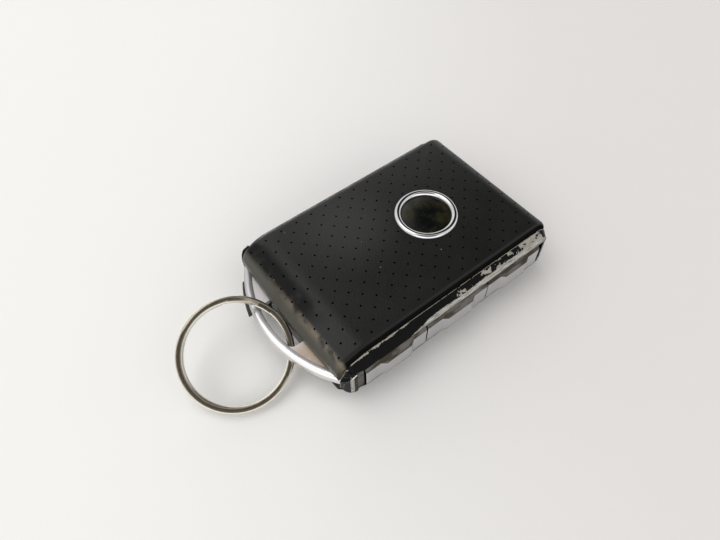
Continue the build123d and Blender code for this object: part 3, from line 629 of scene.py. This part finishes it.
# The next colour is painted shade in the groove between the turns.
groove_painted_shade = (0.03, 0.026, 0.02)
groove_border = (0.42, 0.22)
groove_shade_share = 0.25
rim_highlight_across = (0.62, 0.86)
rub_size = 0.8
ring_rough = 0.08
rub_rough = 0.16


def ring_axis():
    """The direction that the ring turns about."""
    tilt, heading = math.radians(ring_tilt_deg), math.radians(ring_heading_deg)
    return math.sin(tilt) * math.cos(heading), math.sin(tilt) * math.sin(heading), math.cos(tilt)


def ring_finish():
    """Nickel over steel, domed across each turn, with painted highlights on its rims and painted shade in the
    groove.
    """
    made, tree, shader = start_material("ring_nickel")
    spot = place_in_mm(tree)
    low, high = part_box("split_ring")
    centre = [(a + b) / 2 / mm for a, b in zip(low, high)]
    middle_radius = (high.y - low.y) / 2 / mm - wire_half_width
    arm = add(tree, "ShaderNodeVectorMath", {0: spot, 1: centre}, operation="SUBTRACT").outputs[0]
    axial = vector_calc(tree, "DOT_PRODUCT", arm, ring_axis())
    reach = vector_calc(tree, "LENGTH", arm)
    flat = calc(tree, "SQRT", less(tree, product(tree, reach, reach), product(tree, axial, axial)))
    across = calc(tree, "DIVIDE", less(tree, flat, middle_radius), wire_half_width)
    off_middle = away_from(tree, axial)
    along_axis = calc(tree, "DIVIDE", less(tree, off_middle, turn_offset), wire_half_height)
    domed = total(tree, product(tree, across, across, dome_across),
                  product(tree, along_axis, along_axis, dome_along))
    rubs = cloudy(tree, spot, rub_size, *coarse_texture)
    colour = blend_colour(tree, rubs, ring_dark, ring_pale)
    # Painted highlight: the rims of each turn are lighter.
    rim = step_between(tree, away_from(tree, across), *rim_highlight_across)
    colour = blend_colour(tree, rim, colour, ring_painted_highlight)
    # Painted shade: the groove between the turns is darker.
    groove = product(tree, step_between(tree, off_middle, *groove_border), groove_shade_share)
    feed(tree, shader, Base_Color=blend_colour(tree, groove, colour, groove_painted_shade), Metallic=1.0,
         Roughness=total(tree, product(tree, rubs, rub_rough), ring_rough), Normal=dented(tree, domed, 1.0))
    return made


give_slot("ring_steel", ring_finish())

# %% [markdown]
# The moulded plastics and rubbers share one recipe too: a base colour with slow patches and a fine
# moulding grain. Most of them are inside the case, where they stay matt and clean.

# %% Moulded plastics
mould_patch_size = 5.0
mould_grain_depth = 0.012
lighter_factor, lighter_step = 1.5, 0.004


def moulded(name, colour, rough, grain):
    """Moulded plastic or rubber with a fine grain."""
    made, tree, shader = start_material(name)
    spot = place_in_mm(tree)
    speckle = cloudy(tree, spot, grain, 2.0)
    lighter = tuple(min(1.0, part * lighter_factor + lighter_step) for part in colour)
    base = blend_colour(tree, cloudy(tree, spot, mould_patch_size), colour, lighter)
    feed(tree, shader, Base_Color=base, Roughness=drift(tree, speckle, *rough),
         Normal=dented(tree, speckle, mould_grain_depth))
    return made


for slot, name, colour, rough, grain in (
        ("catch_plastic", "catch_black", (0.012, 0.012, 0.012), (0.40, 0.60), 0.3),
        ("inner_plastic", "inner_plastic", (0.022, 0.022, 0.024), (0.45, 0.65), 0.3),
        ("silicone", "silicone", (0.06, 0.06, 0.065), (0.55, 0.75), 0.4),
        ("switch_plastic", "switch_plastic", (0.10, 0.10, 0.10), (0.40, 0.55), 0.2),
        ("board", "board_green", (0.010, 0.075, 0.035), (0.25, 0.45), 0.6),
        ("chip", "chip_black", (0.015, 0.015, 0.016), (0.50, 0.65), 0.15),
        ("coil_block", "coil_ferrite", (0.030, 0.024, 0.020), (0.45, 0.65), 0.25)):
    give_slot(slot, moulded(name, colour, rough, grain))

# %% [markdown]
# The end caps of the frame take every knock in a pocket. Their gloss black is worn to bright metal along
# both edges, and flecked with small nicks.

# %% Frame gloss
frame_black = (0.0035, 0.0035, 0.004)
frame_metal = (0.42, 0.41, 0.37)
frame_index = 1.16
# Each worn line has the x where it starts and is full, and the x where it ends and is full.
outer_line = ((23.42, 23.50), (23.74, 23.70))
inner_line = ((21.62, 21.52), (21.30, 21.40))
cap_back_y = (-29.5, -29.6)
nick_size = 0.55
worn_levels = (0.36, 0.46)
nick_levels = (0.64, 0.67)
frame_grain_size = 0.3
frame_grain_share = 0.1
frame_rough = 0.06
frame_rough_drift = 0.12
worn_metallic = 0.9
worn_depth = 0.03


def frame_gloss():
    """Gloss black with bright worn edges and nicks on the end caps."""
    made, tree, shader = start_material("frame_gloss")
    spot = place_in_mm(tree)
    axes = axes_of(tree, spot)
    beside = away_from(tree, axes["X"])
    nicks = cloudy(tree, spot, nick_size, *fine_texture)
    worn = [product(tree, step_between(tree, beside, *start), step_between(tree, beside, *end))
            for start, end in (outer_line, inner_line)]
    edges = product(tree, most(tree, *worn), step_between(tree, nicks, *worn_levels))
    bare = product(tree, most(tree, edges, step_between(tree, nicks, *nick_levels)),
                   step_between(tree, axes["Y"], *cap_back_y))
    grain = cloudy(tree, spot, frame_grain_size, 2.0)
    relief = total(tree, product(tree, bare, -1.0), product(tree, grain, frame_grain_share))
    feed(tree, shader, Base_Color=blend_colour(tree, bare, frame_black, frame_metal), IOR=frame_index,
         Metallic=product(tree, bare, worn_metallic),
         Roughness=total(tree, product(tree, grain, frame_rough_drift), frame_rough),
         Normal=dented(tree, relief, worn_depth))
    return made


give_slot("frame_plastic", frame_gloss())

# %% [markdown]
# The badge is blank: a dark domed disc in a plain bezel. Its disc is near black with a painted olive
# reflection here and there, under a thin clear coat.

# %% Badge lacquer
lacquer_black = (0.003, 0.004, 0.004)
# The next colour is a painted olive reflection on the disc.
lacquer_painted_reflection = (0.030, 0.027, 0.012)
lacquer_dust = (0.30, 0.28, 0.18)
disc_reflection_blotches = (7.0, 0.4, 0.7)
dust_blotches = (0.35, 0.66, 0.74)
lacquer_dust_share = 0.35
lacquer_rough = 0.14
dust_rough = 0.2
lacquer_shine = 0.3
coat_weight = 0.2
coat_rough = 0.05


def badge_lacquer():
    """Dark lacquer with an uneven painted olive reflection and fine dust under a clear coat."""
    made, tree, shader = start_material("badge_lacquer")
    spot = place_in_mm(tree)
    dust = blotches(tree, spot, *dust_blotches)
    # Painted reflection: olive blotches over the black disc.
    colour = blend_colour(tree, blotches(tree, spot, *disc_reflection_blotches), lacquer_black, lacquer_painted_reflection)
    colour = blend_colour(tree, product(tree, dust, lacquer_dust_share), colour, lacquer_dust)
    feed(tree, shader, Base_Color=colour, Specular_IOR_Level=lacquer_shine, Coat_Weight=coat_weight,
         Coat_Roughness=coat_rough, Roughness=total(tree, product(tree, dust, dust_rough), lacquer_rough))
    return made


give_slot("badge_disc", badge_lacquer())

# %% [markdown]
# Each piece takes the finish of its slot, so nothing on the fob is left a flat colour. The buttons
# could wear the plain chrome of their slot, but grime shows on theirs, so they take the side chrome.
# The finished copies below are made from these pieces and keep what they wear.

# %% One finish for each slot
side_pieces = ("lock_button", "unlock_button", "boot_button", "alert_button", "left_trim_strips")
slot_of = {row["node"]: row["material_slot"] for row in record["subparts"]}
for name, node in nodes.items():
    node.data.materials.clear()
    node.data.materials.append(button_finish if name in side_pieces else finishes[slot_of[name]])
print("finishes", len(finishes), "for", len(nodes), "nodes")

# %% [markdown]
# CAD meshes come as loose triangles with hard normals. The nodes themselves stay as they are: a copy
# takes the looks and stands for the node on the same body, keeping the node's finish. Its triangles are
# first joined into whole faces, because an edge can only be rounded where two faces really meet.

# %% Finished copies
body_with = {node: body for body, members in record["behaviour"]["bodies"].items() for node in members}
weld_distance = 0.002 * mm
flat_angle = math.radians(0.5)


def joined_mesh(name):
    """A copy of a CAD node's mesh with its triangles joined into faces."""
    mesh = nodes[name].data.copy()
    for attribute in [a.name for a in mesh.attributes if a.name == "custom_normal"]:
        mesh.attributes.remove(mesh.attributes[attribute])
    work = bmesh.new()
    work.from_mesh(mesh)
    bmesh.ops.remove_doubles(work, verts=work.verts, dist=weld_distance)
    bmesh.ops.dissolve_limit(work, angle_limit=flat_angle, verts=work.verts, edges=work.edges)
    work.to_mesh(mesh)
    work.free()
    return mesh


def add_object(name, mesh):
    """Link a new object that holds a mesh."""
    made = bpy.data.objects.new(name, mesh)
    bpy.context.scene.collection.objects.link(made)
    return made


def stand_for(piece, name):
    """Let a finished piece take a CAD node's place and body, and hide the node."""
    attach(piece, body_with[name])
    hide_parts(name)


print("copy helpers ready for", len(body_with), "nodes")

# %% [markdown]
# Real edges are never quite sharp, and their tiny rounds catch the light. The rounds could be modelled
# one by one, but a bevel modifier finds every sharp edge by its angle. A second modifier then evens out
# the shading, and both are baked into a plain mesh that every tool reads alike.

# %% Soft edges
crease_angle = math.radians(30)


def baked(piece):
    """Turn what a piece's modifiers make into its own plain mesh."""
    ready = piece.evaluated_get(bpy.context.evaluated_depsgraph_get())
    mesh = bpy.data.meshes.new_from_object(ready)
    piece.modifiers.clear()
    piece.data = mesh
    return piece


def soften(piece, edge_round):
    """Round the sharp edges and even out the shading of the faces beside them."""
    piece.data.shade_smooth()
    piece.data.set_sharp_from_angle(angle=crease_angle)
    if edge_round > 0:
        bevel = piece.modifiers.new("edge_round", "BEVEL")
        bevel.width = edge_round * mm
        bevel.segments = 2
        bevel.limit_method = "ANGLE"
        bevel.angle_limit = crease_angle
        even = piece.modifiers.new("even_shading", "WEIGHTED_NORMAL")
        even.keep_sharp = True
    return baked(piece)


print("edges sharper than", round(math.degrees(crease_angle)), "degrees get a round")

# %% [markdown]
# Each shown piece gets its own edge round. Cast and moulded pieces have softer edges than turned ones,
# and the ring's wire has rounded edges in the CAD model already, so it needs none.

# %% Round the edges


def finished(name, edge_round):
    """A finished copy of a CAD node."""
    piece = soften(add_object("finished_" + name, joined_mesh(name)), edge_round)
    stand_for(piece, name)
    return piece


edge_rounds = {
    "front_shell": 0.10, "rear_shell": 0.10, "middle_frame": 0.10, "key_ring_loop": 0.12,
    "release_catch": 0.15, "lock_button": 0.12, "unlock_button": 0.12, "boot_button": 0.12,
    "alert_button": 0.12, "left_trim_strips": 0.12, "badge_bezel": 0.06, "badge_disc": 0.05,
    "split_ring": 0.0,
}
for name, edge_round in edge_rounds.items():
    piece = finished(name, edge_round)
    print(piece.name, len(piece.data.polygons), "faces")

# %% [markdown]
# The panels are pierced by rows of small holes in a diagonal pattern. Drawing dots in a material would
# leave the surface flat, so real holes are cut. Geometry Nodes suit what repeats: they first lay two
# flat grids of points, shifted against each other.

# %% Where the holes are
hole_pitch = 2.35
hole_columns = 8
hole_first_y = -31.73
hole_last_y = 33.5
hole_rows = int((hole_last_y - hole_first_y) / hole_pitch) + 1


def hole_grids(tree, pitch):
    """Two flat grids of points, each at double pitch, that together make the diagonal pattern."""
    double = product(tree, pitch, 2.0)
    both = add(tree, "GeometryNodeJoinGeometry")
    for shift in (0, 1):
        columns = hole_columns + 1 - shift
        lines = (hole_rows - shift + 1) // 2
        wide = product(tree, double, columns - 1.0)
        long = product(tree, double, lines - 1.0)
        feeds = {"Size X": wide, "Size Y": long, "Vertices X": columns, "Vertices Y": lines}
        grid = add(tree, "GeometryNodeMeshGrid", feeds).outputs["Mesh"]
        start = total(tree, product(tree, pitch, float(shift)), hole_first_y * mm)
        middle = total(tree, start, product(tree, long, 0.5))
        offset = add(tree, "ShaderNodeCombineXYZ", {"Y": middle}).outputs[0]
        moved = add(tree, "GeometryNodeTransform", {"Geometry": grid, "Translation": offset}).outputs[0]
        tree.links.new(moved, both.inputs[0])
    return both.outputs[0]


print("holes in", hole_rows, "rows,", hole_pitch, "mm apart")

# %% [markdown]
# Each point is dropped onto the panel with a ray, and carries a cone that stands square to the
# leather there. The badge's place and the steep rolls of the panel keep none.

# %% Cones for the holes
hole_radius = 0.29
hole_taper = (1.25, 0.75)
hole_sides = 12
hole_depth = 0.9
steepest_upward = 0.55
ray_height = 0.1
ray_length = 0.2
badge_margin = 0.5
badge_low, badge_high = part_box("badge_bezel")
badge_place_y = (badge_low.y + badge_high.y) / 2 / mm
badge_room = (badge_high.x - badge_low.x) / 2 / mm + badge_margin


def upright(tree, height):
    """A vector straight up or down."""
    return add(tree, "ShaderNodeCombineXYZ", {"Z": height}).outputs[0]


def hole_tree(badge):
    """Geometry Nodes that turn a panel into the cones that cut its holes."""
    tree = bpy.data.node_groups.new("perforations", "GeometryNodeTree")
    tree.interface.new_socket("Geometry", in_out="INPUT", socket_type="NodeSocketGeometry")
    sizes = {"Pitch": hole_pitch * mm, "Radius": hole_radius * mm, "Depth": hole_depth * mm, "Side": 1.0,
             "Badge Y": badge_place_y * mm, "Badge Room": badge_room * mm if badge else 0.0}
    for label in sizes:
        tree.interface.new_socket(label, in_out="INPUT", socket_type="NodeSocketFloat")
    tree.interface.new_socket("Geometry", in_out="OUTPUT", socket_type="NodeSocketGeometry")
    given = add(tree, "NodeGroupInput").outputs
    points = hole_grids(tree, given["Pitch"])
    spot = axes_of(tree, add(tree, "GeometryNodeInputPosition").outputs[0])
    feeds = {"X": spot["X"], "Y": spot["Y"], "Z": product(tree, given["Side"], ray_height)}
    over = add(tree, "ShaderNodeCombineXYZ", feeds).outputs[0]
    feeds = {"Target Geometry": given["Geometry"], "Source Position": over,
             "Ray Direction": upright(tree, product(tree, given["Side"], -1.0)), "Ray Length": ray_length}
    ray = add(tree, "GeometryNodeRaycast", feeds).outputs
    feeds = {"Geometry": points, "Position": ray["Hit Position"]}
    dropped = add(tree, "GeometryNodeSetPosition", feeds).outputs[0]
    squares = [calc(tree, "POWER", away_from(tree, spot[axis], centre), 2.0)
               for axis, centre in (("X", 0.0), ("Y", given["Badge Y"]))]
    free = calc(tree, "GREATER_THAN", calc(tree, "SQRT", total(tree, *squares)), given["Badge Room"])
    upward = product(tree, axes_of(tree, ray["Hit Normal"])["Z"], given["Side"])
    keep = product(tree, free, calc(tree, "GREATER_THAN", upward, steepest_upward), ray["Is Hit"])
    top, bottom = [product(tree, given["Radius"], share) for share in hole_taper]
    feeds = {"Vertices": hole_sides, "Radius Top": top, "Radius Bottom": bottom,
             "Depth": product(tree, given["Depth"], 2.0)}
    cone = add(tree, "GeometryNodeMeshCone", feeds).outputs["Mesh"]
    feeds = {"Geometry": cone, "Translation": upright(tree, product(tree, given["Depth"], -1.0))}
    cone = add(tree, "GeometryNodeTransform", feeds).outputs[0]
    turn = add(tree, "FunctionNodeAlignRotationToVector", {"Vector": ray["Hit Normal"]}, axis="Z").outputs[0]
    feeds = {"Points": dropped, "Selection": keep, "Instance": cone, "Rotation": turn}
    placed = add(tree, "GeometryNodeInstanceOnPoints", feeds).outputs[0]
    solid = add(tree, "GeometryNodeRealizeInstances", {"Geometry": placed}).outputs[0]
    feeds = {"Geometry": solid, "Material": finishes["leather"]}
    painted = add(tree, "GeometryNodeSetMaterial", feeds).outputs[0]
    tree.links.new(painted, add(tree, "NodeGroupOutput").inputs[0])
    return tree, sizes


print("badge at", round(badge_place_y, 2), "mm, with", round(badge_room, 2), "mm kept free")

# %% [markdown]
# A boolean cuts the cones out of the panel, so that every hole has a wall and a floor. The cutter is
# only a helper, and it goes once its shape is in the panel.

# %% Pierced panels


def set_inputs(modifier, tree, values):
    """Set a modifier's inputs by their sockets' identifiers."""
    for item in tree.interface.items_tree:
        if item.in_out == "INPUT" and item.name in values:
            modifier[item.identifier] = values[item.name]


def pierced(name, side, badge):
    """A panel with real holes."""
    cutter = add_object("cutter_" + name, joined_mesh(name))
    tree, sizes = hole_tree(badge)
    modifier = cutter.modifiers.new("perforations", "NODES")
    modifier.node_group = tree
    set_inputs(modifier, tree, {**sizes, "Side": side})
    baked(cutter)
    piece = add_object("pierced_" + name, joined_mesh(name))
    cut = piece.modifiers.new("holes", "BOOLEAN")
    cut.operation = "DIFFERENCE"
    cut.solver = "EXACT"
    cut.object = cutter
    baked(piece)
    holes = len(cutter.data.polygons) // (hole_sides + 2)
    bpy.data.objects.remove(cutter)
    piece.data.shade_smooth()
    piece.data.set_sharp_from_angle(angle=crease_angle)
    stand_for(piece, name)
    print(piece.name, holes, "holes,", len(piece.data.polygons), "faces")


pierced("front_panel", 1.0, True)
pierced("rear_panel", -1.0, False)

# %% [markdown]
# A thin bead runs along each long edge of the leather, where the painted rail begins. It is one
# round section along a path of straight runs and three arcs, so a bevelled curve makes it best.
# It is mirrored on the rear cover, where it starts a little later, so that it passes the frame when
# the cover slides open. Places are distances along the fob and heights, in millimetres.

# %% Edge beads
bead_radius = 0.11
bead_x = 21.27
bead_front_start = (-33.23, 10.03)
bead_rear_start = (-32.80, 10.745)
bead_corners = (((-31.187, 13.429), 2.3), ((-26.084, 14.6), 10.1), ((34.5, 14.6), 4.5))
bead_end = (34.5, 8.25)
last_arc_share = 0.55
arc_steps = 8


def round_corner(before, corner, after, radius, share):
    """Points on the arc that rounds a corner, up to a share of its turn."""
    corner = Vector(corner)
    back = (Vector(before) - corner).normalized()
    on = (Vector(after) - corner).normalized()
    half = back.angle(on) / 2
    centre = corner + (back + on).normalized() * radius / math.sin(half)
    first = corner + back * radius / math.tan(half) - centre
    turn = -(math.pi - 2 * half)
    points = []
    for step in range(arc_steps + 1):
        angle = turn * share * step / arc_steps
        cosine, sine = math.cos(angle), math.sin(angle)
        points.append((centre.x + first.x * cosine - first.y * sine,
                       centre.y + first.x * sine + first.y * cosine))
    return points


print("arcs of", arc_steps, "steps")

# %% [markdown]
# The bead could be swept from a profile curve, but a round section is what a curve's bevel makes.

# %% Beads on the covers


def bead_points(start):
    """Side view of the bead."""
    places = [start] + [place for place, radius in bead_corners] + [bead_end]
    points = [start]
    for index, (place, radius) in enumerate(bead_corners):
        share = last_arc_share if index == len(bead_corners) - 1 else 1.0
        points += round_corner(places[index], place, places[index + 2], radius, share)
    return points


def bead(name, side, front, body):
    """One bead as a mesh."""
    curve = bpy.data.curves.new(name, "CURVE")
    curve.dimensions = "3D"
    curve.bevel_depth = bead_radius * mm
    curve.bevel_resolution = 3
    curve.use_fill_caps = True
    spline = curve.splines.new("POLY")
    places = bead_points(bead_front_start if front else bead_rear_start)
    spline.points.add(len(places) - 1)
    for point, (y, z) in zip(spline.points, places):
        height = z if front else 2 * mid_height_mm - z
        point.co = (side * bead_x * mm, y * mm, height * mm, 1.0)
    carrier = add_object(name + "_curve", curve)
    mesh = bpy.data.meshes.new_from_object(carrier.evaluated_get(bpy.context.evaluated_depsgraph_get()))
    bpy.data.objects.remove(carrier)
    mesh.materials.clear()
    mesh.materials.append(bead_finish)
    mesh.shade_smooth()
    piece = add_object(name, mesh)
    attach(piece, body)


for side, word in ((-1, "left"), (1, "right")):
    bead("front_bead_" + word, side, True, "front_cover")
    bead("rear_bead_" + word, side, False, "rear_cover")

# %% [markdown]
# At the ring end of each side channel a small plate closes the room between the end cap and the first
# button. It is a plain prism with the same sloped ledges as the buttons.

# %% Channel plates
plate_ends_y = (-30.2, -28.3)
plate_root = (22.6, 4.1)
plate_face = (23.65, 3.38)
plate_round = 0.12


def channel_plate(name, side):
    """One plate, as a prism along the channel."""
    (root_x, root_half), (face_x, face_half) = plate_root, plate_face
    outline = [(root_x, -root_half), (face_x, -face_half), (face_x, face_half), (root_x, root_half)]
    places = [(side * x * mm, y * mm, (mid_height_mm + z) * mm) for y in plate_ends_y for x, z in outline]
    work = bmesh.new()
    corners = [work.verts.new(place) for place in places]
    near, far = corners[:4], corners[4:]
    work.faces.new(near)
    work.faces.new(far)
    for index in range(4):
        work.faces.new((near[index], near[(index + 1) % 4], far[(index + 1) % 4], far[index]))
    bmesh.ops.recalc_face_normals(work, faces=work.faces)
    mesh = bpy.data.meshes.new(name)
    work.to_mesh(mesh)
    work.free()
    # The plate's finish carries the painted dark reflection all over.
    mesh.materials.append(plate_finish)
    piece = soften(add_object(name, mesh), plate_round)
    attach(piece, "housing")


for side, word in ((-1, "left"), (1, "right")):
    channel_plate("channel_plate_" + word, side)

# %% [markdown]
# The table is a plain pale sheet, with a painted shade that grows a little darker towards the far right.
# A very faint mottling keeps it from looking like a blank page. It is a stage, not a part of the object.

# %% Table
table_near = ((0.838, 0.836, 0.820), (0.850, 0.846, 0.830))
# The far tones are a painted shade where the light falls off.
table_far_shaded = ((0.745, 0.722, 0.715), (0.755, 0.732, 0.725))
shade_direction = (0.61, 0.79, 0.0)
shade_ends = (-75.0, 75.0)
mottle_size = 14.0
table_rough = 0.55
table_half = 1.5
table_drop = 0.02


def table_finish():
    """Pale laminate with a faint mottling and a painted shade towards the far right."""
    made, tree, shader = start_material("pale_table")
    spot = place_in_mm(tree)
    mottle = cloudy(tree, spot, mottle_size)
    near, far = [blend_colour(tree, mottle, *tones) for tones in (table_near, table_far_shaded)]
    # Painted shade: the table darkens along this direction.
    along = step_between(tree, vector_calc(tree, "DOT_PRODUCT", spot, shade_direction), *shade_ends)
    feed(tree, shader, Base_Color=blend_colour(tree, along, near, far), Roughness=table_rough)
    return made


corners = [(x * table_half, y * table_half, -table_drop * mm)
           for x, y in ((-1, -1), (1, -1), (1, 1), (-1, 1))]
table_mesh = bpy.data.meshes.new("table")
table_mesh.from_pydata(corners, [], [(0, 1, 2, 3)])
table_mesh.materials.append(table_finish())
floor = add_object("table", table_mesh)
print("table", 2 * table_half, "m wide")
